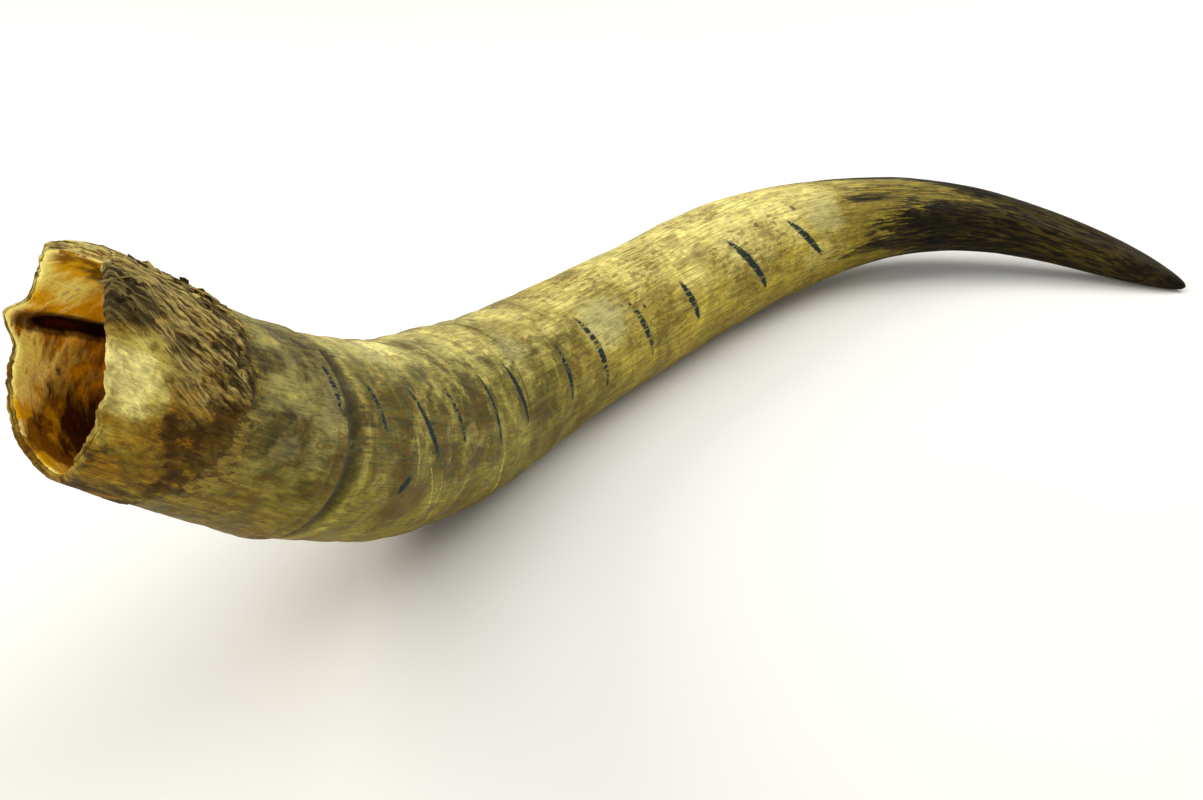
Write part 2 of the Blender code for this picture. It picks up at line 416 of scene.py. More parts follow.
def addFlakes(tree, geometry, given):
    # Small bent chips that stand on the torn bark, with their loose end towards the tip.
    size = namedField(tree, "flakeSize", "FLOAT_VECTOR")
    amount = splitXyz(size)[0].math("MINIMUM", 1.0)
    scatter = tree.nodes.new("GeometryNodeDistributePointsOnFaces")
    tree.links.new(geometry, scatter.inputs["Mesh"])
    plug(scatter.inputs["Density"], given["flakeCount"] * amount)
    plug(scatter.inputs["Seed"], given["seed"])

    chip = tree.nodes.new("GeometryNodeMeshCube")
    chip.inputs["Size"].default_value = flakeBlank
    chip.inputs["Vertices X"].default_value = 6
    place = tree.nodes.new("GeometryNodeInputPosition")
    x, y, z = splitXyz(Wire(tree, place.outputs[0]))
    run = x / flakeBlank[0] + 0.5
    bend = tree.nodes.new("GeometryNodeSetPosition")
    tree.links.new(chip.outputs["Mesh"], bend.inputs["Geometry"])
    lifted = z + run * run * given["flakeCurl"] - flakeSink
    plug(bend.inputs["Position"], joinXyz(x, y * (run * run * -0.75 + 1.0), lifted))

    upright = tree.nodes.new("FunctionNodeAlignRotationToVector")
    upright.axis = "Z"
    tree.links.new(scatter.outputs["Normal"], upright.inputs["Vector"])
    swung = tree.nodes.new("FunctionNodeAlignRotationToVector")
    swung.axis = "X"
    swung.pivot_axis = "Z"
    tree.links.new(upright.outputs["Rotation"], swung.inputs["Rotation"])
    plug(swung.inputs["Vector"], namedField(tree, "lengthwise", "FLOAT_VECTOR"))
    sway = randomVector(tree, (-0.25, -0.20, -0.55), (0.25, 0.05, 0.55), given["seed"])
    toRotation = tree.nodes.new("FunctionNodeEulerToRotation")
    plug(toRotation.inputs[0], sway)
    turned = tree.nodes.new("FunctionNodeRotateRotation")
    turned.rotation_space = "LOCAL"
    tree.links.new(swung.outputs["Rotation"], turned.inputs[0])
    tree.links.new(toRotation.outputs[0], turned.inputs[1])
    spread = randomVector(tree, (0.35, 0.4, 0.3), (1.35, 1.3, 1.1), given["seed"] + 1.0)

    put = tree.nodes.new("GeometryNodeInstanceOnPoints")
    tree.links.new(scatter.outputs["Points"], put.inputs["Points"])
    tree.links.new(bend.outputs["Geometry"], put.inputs["Instance"])
    tree.links.new(turned.outputs[0], put.inputs["Rotation"])
    plug(put.inputs["Scale"], vectorMath("MULTIPLY", spread, size))
    join = tree.nodes.new("GeometryNodeJoinGeometry")
    tree.links.new(put.outputs["Instances"], join.inputs[0])
    tree.links.new(geometry, join.inputs[0])
    return join.outputs[0]


def makeSheathTree(skin, lining, length):
    tree = bpy.data.node_groups.new("horn sheath", "GeometryNodeTree")
    tree.is_modifier = True
    tree.interface.new_socket("Geometry", in_out="INPUT", socket_type="NodeSocketGeometry")
    for name, value in sheathShape.items():
        kind = "NodeSocketInt" if isinstance(value, int) else "NodeSocketFloat"
        tree.interface.new_socket(name, in_out="INPUT", socket_type=kind)
    tree.interface.new_socket("Geometry", in_out="OUTPUT", socket_type="NodeSocketGeometry")
    entry = tree.nodes.new("NodeGroupInput")
    given = {name: Wire(tree, entry.outputs[name]) for name in sheathShape}

    grid = tree.nodes.new("GeometryNodeMeshGrid")
    plug(grid.inputs["Vertices X"], given["rows"])
    plug(grid.inputs["Vertices Y"], given["around"] + 1.0)
    place = tree.nodes.new("GeometryNodeInputPosition")
    x, y = splitXyz(Wire(tree, place.outputs[0]))[:2]
    turn = (y + 0.5) * math.tau
    inside = (x + 0.5 - given["hollowShare"]).math("LESS_THAN", 0.0)
    deep = ((given["hollowShare"] - x - 0.5) / given["hollowShare"]).clamped()
    outer = ((x + 0.5 - given["hollowShare"]) / (given["hollowShare"] * -1.0 + 1.0)).clamped()
    # Rings stand closer together at the rim and at the tip.
    outerStep = (outer * (outer * (outer * -1.1333 + 1.7) + 0.5)) * (length / 1.0667)
    innerStep = deep.math("POWER", 1.5) * given["hollowDepth"]
    step = outerStep + (innerStep - outerStep) * inside

    ring = joinXyz(turn.math("COSINE"), turn.math("SINE"), given["seed"] + 0.0)
    fray = noise(ring, 7.5, 6.0, 0.78) - 0.5
    rim = rimLine(turn, given, fray)
    along = alongPath(step, turn, rim, given)

    sampler = tree.nodes.new("GeometryNodeSampleCurve")
    sampler.mode = "LENGTH"
    sampler.data_type = "FLOAT"
    sampler.use_all_curves = True
    tree.links.new(entry.outputs["Geometry"], sampler.inputs["Curves"])
    width = tree.nodes.new("GeometryNodeInputRadius")
    tree.links.new(width.outputs[0], inUse(sampler.inputs, "Value"))
    plug(sampler.inputs["Length"], (along + pathLead).math("MINIMUM", pathLead + length))
    radius = Wire(tree, inUse(sampler.outputs, "Value"))
    centre = Wire(tree, sampler.outputs["Position"])
    tangent = Wire(tree, sampler.outputs["Tangent"])
    near = vectorMath("NORMALIZE", vectorMath("CROSS_PRODUCT", tangent, (0.0, 0.0, 1.0)))
    up = vectorMath("CROSS_PRODUCT", near, tangent)
    out = vectorMath("SCALE", up, scale=turn.math("COSINE"))
    out = vectorMath("ADD", out, vectorMath("SCALE", near, scale=turn.math("SINE")))

    spot = roundAxis(radius, turn, along)
    fold = turn.lobe(foldAngle, 11.0) * step.fall(0.0, 0.160) * given["foldOut"]
    edge = barkEdge(step, spot, given)
    barkFlow = warped(roundAxis(radius, turn - along * given["barkTwist"], along), 15.0, 0.012)
    torn = noise(barkFlow, 52.0, 5.0, 0.64, (1.0, 1.0, 0.55))
    relief = ledgeRelief(step, turn, spot, edge, given)
    relief = relief + barkRelief(step, turn, barkFlow, torn, edge, given)
    relief = relief + growthRelief(step, turn, spot, given) + pitRelief(along, turn) + fold
    tipShare = ((along - tipStart) / (length - tipStart)).clamped()
    cap = (tipShare * tipShare * -1.0 + 1.0).math("MAXIMUM", 0.0).math("SQRT")
    lip = given["wallAtRim"] * 0.45 * (step / lipReach).clamped().flipped().math("POWER", 2.0)
    skinRadius = (radius + relief - lip) * cap

    thicker = deep.math("POWER", 1.5).ease(0.0, 1.0)
    wall = given["wallAtRim"] + (given["wallDeep"] - given["wallAtRim"]) * thicker
    rough = (noise(spot, 38.0, 4.0, 0.6, (1.0, 1.0, 0.6), 4.0) - 0.5) * 0.0022
    crease = (turn - step * creaseTwist).lobe(creaseAngle, 5.0)
    crease = crease * step.ease(0.006, 0.03) * step.fall(0.09, 0.15) * 0.0030
    room = radius - wall + fold * 1.4 + rough * step.ease(0.0, 0.01) + crease + lip
    taper = (deep.math("POWER", 3.9) * -1.0 + 1.0).math("MAXIMUM", 0.0).math("SQRT")
    liningRadius = room * taper
    reach = skinRadius + (liningRadius - skinRadius) * inside

    spotOut = vectorMath("ADD", centre, vectorMath("SCALE", out, scale=reach))
    px, py, pz = splitXyz(spotOut)
    placed = joinXyz(px, py, pz.math("MAXIMUM", 0.0))

    geometry = grid.outputs["Mesh"]
    for name, kind, value in (
        ("straight", "FLOAT_VECTOR", roundAxis(reach, turn, along)),
        ("fromRim", "FLOAT", step),
        ("pastBark", "FLOAT", edge),
        ("torn", "FLOAT", torn),
        ("barkFlow", "FLOAT_VECTOR", barkFlow),
        ("flowing", "FLOAT_VECTOR", warped(spot, 15.0, 0.024)),
        ("swirled", "FLOAT_VECTOR", warped(spot, 38.0, 0.013)),
        ("hollow", "FLOAT", inside),
        ("lengthwise", "FLOAT_VECTOR", tangent),
        ("flakeSize", "FLOAT_VECTOR", flakeSize(along, turn, inside)),
    ):
        store = tree.nodes.new("GeometryNodeStoreNamedAttribute")
        store.data_type = kind
        store.domain = "POINT"
        store.inputs["Name"].default_value = name
        tree.links.new(geometry, store.inputs["Geometry"])
        plug(inUse(store.inputs, "Value"), value)
        geometry = store.outputs["Geometry"]
    move = tree.nodes.new("GeometryNodeSetPosition")
    tree.links.new(geometry, move.inputs["Geometry"])
    plug(move.inputs["Position"], placed)
    weld = tree.nodes.new("GeometryNodeMergeByDistance")
    weld.inputs["Distance"].default_value = weldReach
    tree.links.new(move.outputs["Geometry"], weld.inputs["Geometry"])
    real = tree.nodes.new("GeometryNodeRealizeInstances")
    tree.links.new(addFlakes(tree, weld.outputs["Geometry"], given), real.inputs["Geometry"])
    geometry = real.outputs["Geometry"]
    lined = namedField(tree, "hollow", "FLOAT").math("GREATER_THAN", 0.9)
    for material, here in ((skin, True), (lining, lined)):
        dress = tree.nodes.new("GeometryNodeSetMaterial")
        dress.inputs["Material"].default_value = material
        plug(dress.inputs["Selection"], here)
        tree.links.new(geometry, dress.inputs["Geometry"])
        geometry = dress.outputs["Geometry"]
    leave = tree.nodes.new("NodeGroupOutput")
    tree.links.new(geometry, leave.inputs["Geometry"])
    return tree


def giveNodes(thing, tree, values):
    modifier = thing.modifiers.new(tree.name, "NODES")
    modifier.node_group = tree
    for item in tree.interface.items_tree:
        if item.in_out == "INPUT" and item.name in values:
            modifier[item.identifier] = values[item.name]
    return modifier


def plainMesh(thing, name):
    bpy.context.view_layer.update()
    graph = bpy.context.evaluated_depsgraph_get()
    data = bpy.data.meshes.new_from_object(
        thing.evaluated_get(graph), preserve_all_data_layers=True, depsgraph=graph)
    data.name = name
    thing.modifiers.clear()
    build = bmesh.new()
    build.from_mesh(data)
    bmesh.ops.recalc_face_normals(build, faces=build.faces)
    openEdges = sum(1 for edge in build.edges if not edge.is_manifold)
    for face in build.faces:
        face.smooth = True
    build.to_mesh(data)
    build.free()
    print("piece:", name, len(data.polygons), "faces,", openEdges, "open edges")
    return addObject(name, data)


# Materials

penStrokes = (                  # distance along, angle, half length in degrees, lean, strength, width
    (0.132, 54.0, 17.0, 0.011, 0.35, 0.0028),
    (0.180, 64.0, 17.0, 0.021, 0.60, 0.0030),
    (0.240, 70.0, 23.0, 0.040, 0.95, 0.0038),
    (0.289, 67.0, 18.0, 0.025, 0.60, 0.0034),
    (0.354, 67.0, 24.0, 0.016, 0.75, 0.0036),
    (0.406, 63.0, 22.0, 0.013, 0.95, 0.0038),
    (0.486, 66.0, 25.0, 0.004, 0.60, 0.0036),
    (0.534, 65.0, 34.0, 0.009, 0.50, 0.0042),
    (0.598, 68.0, 27.0, 0.010, 0.38, 0.0042),
    (0.662, 69.0, 21.0, 0.018, 0.80, 0.0044),
    (0.747, 66.0, 32.0, 0.032, 0.95, 0.0056),
    (0.831, 67.0, 26.0, 0.039, 0.70, 0.0056),
    (0.217, 107.0, 6.5, -0.034, 1.00, 0.0044),
)
skinLook = {
    "straw": "a8862c",          # base
    "ochre": "865a06",
    "mottle": "2c1c04",
    "barkBrown": "382a0c",
    "barkTan": "bea86a",
    "palePatch": "f2e49a",
    "fibreGrey": "2a200c",
    "fibrePale": "8c7a4c",
    "greyOlive": "544a1e",      # between the two old edges
    "blueGrey": "9a9058",
    "greenLow": "8e7810",
    "khaki": "8a8038",          # middle
    "darkOlive": "504812",
    "streakPale": "c8b860",
    "speckle": "5c3e08",
    "straws": "c2ac46",         # from the middle on
    "cream": "faec9c",
    "washed": "bab280",
    "tipDark": "080602",
    "tipBrown": "2e2208",
    "tipOlive": "6e6022",
    "tipGold": "8a7628",
    "ink": "08141f",
    "inkEdge": "2c5652",
    # dark dirt, and the painted shade in the old edges
    "grimeAndShade": "2b2610",
    "warmth": 0.82,             # share of the blue that is left
    "roughness": (0.46, 0.78),
    "shine": 0.10,
    "bump": 0.6,
}


def makeGroup(name, inputs, outputs):
    # Inputs are labels with their usual values; one with no value is a vector. Outputs are numbers.
    tree = bpy.data.node_groups.new(name, "ShaderNodeTree")
    for label, value in inputs.items():
        kind = "NodeSocketVector" if value is None else "NodeSocketFloat"
        socket = tree.interface.new_socket(label, in_out="INPUT", socket_type=kind)
        if value is not None:
            socket.default_value = value
    for label in outputs:
        tree.interface.new_socket(label, in_out="OUTPUT", socket_type="NodeSocketFloat")
    entry = tree.nodes.new("NodeGroupInput")
    leave = tree.nodes.new("NodeGroupOutput")
    given = {label: Wire(tree, entry.outputs[label]) for label in inputs}
    return tree, given, leave


def makeGrainGroup():
    # Fibres that run along the horn, with a fine cross ripple.
    tree, given, leave = makeGroup("horn grain", {
        "Position": None, "Fineness": 900.0, "Draw Out": 0.05, "Contrast": 0.18,
    }, ("Fibre", "Streak"))
    x, y, z = splitXyz(given["Position"])
    drawn = joinXyz(x, y, z * given["Draw Out"])
    fine = noise(drawn, given["Fineness"], 3.0, 0.6)
    wide = noise(drawn, given["Fineness"] * 0.25, 3.0, 0.6)
    low = given["Contrast"] * -1.0 + 0.5
    high = given["Contrast"] + 0.5
    plug(leave.inputs["Fibre"], fine.ease(low, high))
    plug(leave.inputs["Streak"], wide.ease(low, high))
    return tree


def makeStainGroup():
    # Soft-edged blotches.
    tree, given, leave = makeGroup("horn stain", {
        "Position": None, "Scale": 40.0, "Draw Out": 0.6, "Amount": 0.5, "Softness": 0.08, "Shift": 0.0,
    }, ("Mask", "Cloud"))
    x, y, z = splitXyz(given["Position"])
    moved = joinXyz(x + given["Shift"], y, z * given["Draw Out"] + given["Shift"])
    cloud = noise(moved, given["Scale"], 5.0, 0.62)
    edge = given["Amount"] * -0.36 + 0.68
    plug(leave.inputs["Mask"], cloud.ease(edge - given["Softness"], edge + given["Softness"]))
    plug(leave.inputs["Cloud"], cloud)
    return tree


def makeStrokeGroup():
    # One pen stroke across the horn, broken up by the grain.
    tree, given, leave = makeGroup("pen stroke", {
        "Along": 0.0, "Turn": 0.0, "Fibre": 0.5, "Place": 0.2, "Angle": 1.0, "Half Length": 0.4,
        "Lean": 0.0, "Strength": 1.0, "Width": 0.0034, "Ragged": 0.0034,
    }, ("Mask",))
    across = given["Turn"] - given["Angle"]
    share = across / given["Half Length"]
    ragged = given["Along"] + (given["Fibre"] - 0.5) * given["Ragged"]
    offset = (ragged - given["Place"] - given["Lean"] * across).math("ABSOLUTE")
    thick = given["Width"] * (share * share * -0.70 + 1.0).math("MAXIMUM", 0.0)
    core = (offset / thick.math("MAXIMUM", 0.0001)).ease(0.25, 1.20).flipped()
    ends = share.fall(0.85, 1.05) * share.ease(-1.10, -0.55)
    worn = given["Fibre"].ease(given["Strength"] * -0.50 + 0.48, given["Strength"] * -0.38 + 0.86)
    plug(leave.inputs["Mask"], core * ends * worn)
    return tree


grainGroup = makeGrainGroup()
stainGroup = makeStainGroup()
strokeGroup = makeStrokeGroup()


def useGroup(group, **values):
    tree = next(value.tree for value in values.values() if isinstance(value, Wire))
    node = tree.nodes.new("ShaderNodeGroup")
    node.node_tree = group
    for label, value in values.items():
        plug(node.inputs[label.replace("_", " ")], value)
    return {socket.name: Wire(tree, socket) for socket in node.outputs}


def fibres(position, fineness, drawOut, contrast):
    return useGroup(grainGroup, Position=position, Fineness=fineness, Draw_Out=drawOut, Contrast=contrast)


def stain(position, scale, drawOut, amount, softness, shift):
    return useGroup(
        stainGroup, Position=position, Scale=scale, Draw_Out=drawOut, Amount=amount, Softness=softness,
        Shift=shift)


def newMaterial(name):
    material = bpy.data.materials.new(name)
    material.use_nodes = True
    tree = material.node_tree
    shader = tree.nodes["Principled BSDF"]
    return material, tree, shader


def readSurface(tree):
    # Where a point is: along the horn, round it, how far from the rim and from the end of the bark.
    at = {}
    for name in ("straight", "barkFlow", "flowing", "swirled", "fromRim", "pastBark", "torn"):
        node = tree.nodes.new("ShaderNodeAttribute")
        node.attribute_name = name
        at[name] = Wire(tree, node.outputs["Fac" if name in ("fromRim", "pastBark", "torn") else "Vector"])
    x, y, along = splitXyz(at["straight"])
    reach = (x * x + y * y).math("SQRT").math("MAXIMUM", 0.002)
    at.update(spot=at["straight"], along=along, turn=y.math("ARCTAN2", x), reach=reach, top=x / reach)
    return at


def bumpFrom(tree, shader, height, strength, distance):
    node = tree.nodes.new("ShaderNodeBump")
    node.inputs["Strength"].default_value = strength
    node.inputs["Distance"].default_value = distance
    plug(node.inputs["Height"], height)
    tree.links.new(node.outputs["Normal"], shader.inputs["Normal"])


def baseColour(at, look, grain):
    # Torn base: ochre with dark mottles below, stringy bark above, a pale and a grey patch beside the rim.
    along, turn, wander, torn = at["along"], at["turn"], at["wander"], at["torn"]
    ochre = stain(at["swirled"], 34.0, 0.8, 0.55, 0.10, 4.0)
    dark = stain(at["swirled"], 95.0, 0.5, 0.50, 0.06, 5.0)
    colour = blend(ochre["Mask"], look["straw"], look["ochre"])
    hatch = grain["Fibre"] * 0.5 + 0.5
    below = turn.lobe(118.0, 40.0) * along.ease(0.0, 0.03) * 0.12
    colour = blend((dark["Cloud"] + below).ease(0.48, 0.57) * hatch * 0.95, colour, look["mottle"])
    fine = grain["Fibre"].fall(0.05, 0.65) * ochre["Cloud"].ease(0.35, 0.60)
    colour = blend(fine * 0.5, colour, look["mottle"])
    strands = noise(at["barkFlow"], 500.0, 4.0, 0.70, (1.0, 1.0, 0.10), 2.0)
    bark = blend(strands.ease(0.39, 0.61), look["barkBrown"], look["barkTan"])
    bark = blend(ochre["Cloud"].ease(0.50, 0.62) * 0.6, bark, look["straw"])
    bark = blend(torn.ease(0.56, 0.66) * 0.5, bark, look["barkTan"])
    # Dark on the lowest layer and on the low side of each torn step: painted shadow, partly dirt.
    bark = blend(torn.fall(0.405, 0.445) * 0.8, bark, look["mottle"])
    stepShadowAndDirt = (torn.hill(0.495, 0.016) + torn.hill(0.578, 0.012)) * strands.fall(0.40, 0.60)
    bark = blend(stepShadowAndDirt.clamped() * 0.85, bark, look["mottle"])
    above = (turn.facing(12.0) + wander * 1.6).ease(0.20, 0.75)
    colour = blend(above * 0.92, colour, bark)
    flaky = along.hill(0.056, 0.020) * turn.lobe(62.0, 26.0) + (ochre["Cloud"] - 0.5) * 1.2
    colour = blend(flaky.ease(0.30, 0.55) * strands.fall(0.40, 0.62) * 0.8, colour, look["mottle"])
    patch = (along + wander * 0.12).fall(-0.016, 0.038) * turn.lobe(86.0, 25.0) + (dark["Cloud"] - 0.5) * 1.2
    patch = patch + (torn - 0.5) * 0.8
    halo = blend(ochre["Mask"], look["streakPale"], look["straw"])
    colour = blend(patch.ease(0.10, 0.45) * 0.75, colour, halo)
    white = blend(ochre["Cloud"].ease(0.46, 0.60) * 0.45, look["palePatch"], look["straw"])
    colour = blend(patch.ease(0.38, 0.88) * (strands.ease(0.34, 0.48) * 0.4 + 0.6), colour, white)
    shreds = (along + wander * 0.06).fall(-0.018, 0.012) * turn.lobe(48.0, 17.0) + (dark["Cloud"] - 0.5) * 1.3
    shredTone = blend(strands.ease(0.47, 0.70), look["fibreGrey"], look["fibrePale"])
    colour = blend(shreds.ease(0.25, 0.65) * 0.9, colour, shredTone)
    return colour, strands, shreds


def lipColour(at, look, base, shreds):
    # The broken edge: cream layers that follow the rim, with brown between them.
    layered = joinXyz(at["reach"] * 900.0, at["turn"] * 3.0, at["along"] * 160.0)
    layers = noise(layered, 1.0, 4.0, 0.62)
    below = (at["top"] + at["wander"]).fall(-0.75, -0.25)
    cream = blend(below * 0.8, look["palePatch"], look["straw"])
    lip = blend(layers.ease(0.40, 0.62), look["ochre"], cream)
    lip = blend(layers.fall(0.30, 0.46), lip, look["mottle"])
    here = at["fromRim"].fall(0.0006, 0.0050) * (at["torn"] + at["wander"] * 0.9).ease(0.34, 0.50)
    return blend(here * shreds.fall(0.25, 0.6) * 0.9, base, lip)


def bandColour(at, look, speckle):
    # Between the two old edges: dark grey-olive with pale marbling, yellow-green and hatched below.
    top = at["top"]
    marble = noise(at["flowing"], 50.0, 6.0, 0.68, (1.0, 1.0, 0.75), 14.0)
    colour = blend(marble.ease(0.40, 0.62), look["greyOlive"], look["blueGrey"])
    colour = blend(marble.fall(0.36, 0.45) * 0.6, colour, look["grimeAndShade"])
    colour = blend(marble.ease(0.57, 0.70) * 0.65, colour, look["streakPale"])
    low = (top + (marble - 0.5) * 1.8).fall(-0.90, 0.05)
    below = blend(marble.ease(0.36, 0.54), look["darkOlive"], look["greenLow"])
    below = blend(speckle["Mask"] * 0.6, below, look["speckle"])
    colour = blend(low, colour, below)
    # A rusty stain reaches past the torn bark.
    rust = at["pastBark"].fall(0.0, 0.030) - top.ease(0.2, 0.9) * 0.25
    rust = rust + (marble - 0.5) * 2.0 + at["wander"] * 1.2
    colour = blend(rust.ease(0.45, 1.05) * 0.7, colour, look["straw"])
    spots = rust.ease(0.40, 0.80) * speckle["Cloud"].ease(0.46, 0.58)
    return blend(spots * 0.85, colour, look["mottle"]), marble


def middleColour(at, look, coarse, speckle):
    # Olive and khaki clouds, paler towards the tip and yellow-green below; the cream above is partly a paler
    # tone, partly painted highlight.
    top, place, wander = at["top"], at["along"] + at["wander"] * 0.05, at["wander"]
    band, marble = bandColour(at, look, speckle)
    cloud = noise(at["swirled"], 23.0, 6.0, 0.66, (1.0, 1.0, 0.8), 1.0)
    arcs = noise(at["flowing"], 64.0, 4.0, 0.62, (0.26, 0.26, 1.0), 6.0)
    colour = blend(cloud.ease(0.40, 0.60), look["khaki"], look["darkOlive"])
    colour = blend(marble.ease(0.50, 0.64) * 0.55, colour, look["streakPale"])
    onwards = place.ease(0.42, 0.64)
    colour = blend(onwards * (cloud.fall(0.42, 0.62) * 0.5 + 0.5), colour, look["straws"])
    low = (top + wander * 0.9).fall(-0.80, 0.15)
    colour = blend(low * place.fall(0.85, 1.0) * 0.6, colour, look["greenLow"])
    # Cream on the upper side: partly a paler tone, partly painted highlight.
    pale = (top + (cloud - 0.5) * -1.8 + (marble - 0.5) * 1.2).ease(0.50, 1.25)
    colour = blend(pale * (onwards * 0.25 + 0.5), colour, look["cream"])
    bright = (top + (marble - 0.5) * 1.6).ease(0.05, 1.05) * place.ease(0.56, 0.78) * place.fall(0.84, 0.92)
    colour = blend(bright * 0.86, colour, look["cream"])
    fade = place.fall(0.55, 0.80)
    colour = blend(arcs.ease(0.54, 0.66) * fade * 0.35, colour, look["streakPale"])
    colour = blend(arcs.fall(0.34, 0.46) * fade * 0.45, colour, look["darkOlive"])
    colour = blend(place.ease(0.80, 0.90) * 0.35, colour, look["tipOlive"])
    colour = blend(place.fall(0.146, 0.166), colour, band)
    colour = blend(coarse["Streak"].ease(0.5, 1.0) * 0.16, colour, look["streakPale"])
    lines = coarse["Fibre"].fall(0.1, 0.6) * (place.ease(0.3, 0.6) * 0.20 + 0.17)
    colour = blend(lines, colour, look["darkOlive"])
    freckled = cloud * 0.7 + marble * 0.3 + wander * 0.5 + place.ease(0.40, 0.60) * 0.04
    colour = blend(speckle["Mask"] * freckled.ease(0.46, 0.58) * 0.7, colour, look["speckle"])
    rusty = (marble + wander * 0.7).fall(0.34, 0.46) * speckle["Cloud"].ease(0.40, 0.60)
    return blend(rusty * 0.55, colour, look["speckle"])


surfaceMarks = (                # distance along, angle, length, width in degrees, strength, tone name
    (0.777, 36.0, 0.0030, 3.4, 0.75, "speckle"),
    (0.832, 32.0, 0.0042, 4.4, 0.80, "speckle"),
    (0.800, 42.0, 0.0024, 3.0, 0.65, "speckle"),
    (0.608, 54.0, 0.0022, 3.0, 0.85, "grimeAndShade"),
    (0.700, 40.0, 0.0160, 14.0, 0.35, "speckle"),
    (0.255, 42.0, 0.0150, 9.0, 0.55, "grimeAndShade"),
    (0.325, 50.0, 0.0160, 10.0, 0.55, "grimeAndShade"),
    (0.205, 100.0, 0.0140, 12.0, 0.45, "speckle"),
    (0.232, 118.0, 0.0300, 16.0, 0.60, "speckle"),
    (0.340, 128.0, 0.0300, 16.0, 0.35, "speckle"),
    (0.470, 110.0, 0.0240, 16.0, 0.35, "speckle"),
    (0.450, 20.0, 0.0260, 14.0, 0.35, "speckle"),
    (0.560, 48.0, 0.0320, 26.0, 0.70, "washed"),
    (0.865, 52.0, 0.0250, 24.0, 0.50, "washed"),
    # These two make the top edge paler: partly a paler tone, partly painted highlight.
    (0.222, 22.0, 0.0240, 18.0, 0.50, "washed"),
    (0.247, 14.0, 0.0220, 14.0, 0.65, "cream"),
    (0.425, 34.0, 0.0260, 14.0, 0.40, "washed"),
    (0.850, 92.0, 0.0300, 20.0, 0.25, "cream"),
    (0.100, 96.0, 0.0120, 10.0, 0.22, "washed"),
    (0.128, 70.0, 0.0100, 16.0, 0.25, "washed"),
    (0.015, 132.0, 0.0240, 24.0, 0.30, "straw"),
)


def addMarks(at, look, speckle, colour):
    # Pits, smudges and washed-out patches, each with a ragged edge.
    for place, degrees, length, width, strength, name in surfaceMarks:
        spread = (at["along"] + at["wander"] * length * 1.5).hill(place, length)
        mask = (spread * at["turn"].lobe(degrees, width) + (speckle["Cloud"] - 0.5) * 1.5).ease(0.30, 0.75)
        colour = blend(mask * strength, colour, look[name])
    return blend(scarShape(at["along"], at["turn"], 3.0) * 0.7, colour, look["cream"])


paleScratches = (               # distance along, angle, half length in degrees, lean, strength, width
    (0.262, 112.0, 22.0, 0.055, 0.95, 0.0013),
    (0.281, 118.0, 20.0, 0.050, 0.85, 0.0012),
    (0.226, 92.0, 16.0, 0.020, 0.80, 0.0011),
    (0.377, 112.0, 24.0, 0.030, 0.85, 0.0012),
)


def drawLines(at, lines, fibre):
    # The strongest of several pen strokes or scratches at each point.
    total = None
    for place, angle, halfLength, lean, strength, width in lines:
        mask = useGroup(strokeGroup, Along=at["along"], Turn=at["turn"], Fibre=fibre, Place=place,
            Angle=math.radians(angle), Half_Length=math.radians(halfLength), Lean=lean, Strength=strength,
            Width=width)["Mask"]
        total = mask if total is None else total.math("MAXIMUM", mask)
    return total


def edgeLines(at, look, broken, colour):
    # Painted shade, in stretches: dark just past the bark's edge, in the groove behind the second edge and
    # right on that edge, where it would catch the light; then a pale strip and a faint line.
    turn, wander = at["turn"], at["wander"]
    first = at["pastBark"].hill(0.0010, 0.0035) * broken.ease(0.42, 0.60)
    colour = blend(first * 0.85, colour, look["mottle"])
    level = at["along"] + turn.facing(15.0) * ledgeLean + wander * 0.003 - sheathShape["secondLedge"]
    wide = level.hill(0.0072, 0.0070) * (broken.ease(0.30, 0.52) * 0.34 + 0.60)
    sharp = level.hill(0.0006, 0.0024) * 0.95 + level.hill(-0.0095, 0.0016) * 0.35 * broken.ease(0.40, 0.55)
    colour = blend((wide + sharp).clamped() * 0.92, colour, look["grimeAndShade"])
    pale = level.hill(0.0210, 0.0045) * 0.45 * broken.ease(0.40, 0.55)
    colour = blend(pale, colour, look["streakPale"])
    faint = (at["along"] + wander * 0.020).hill(0.418, 0.0016) * at["top"].ease(-0.4, 0.5) * 0.75
    return blend(faint, colour, look["speckle"])


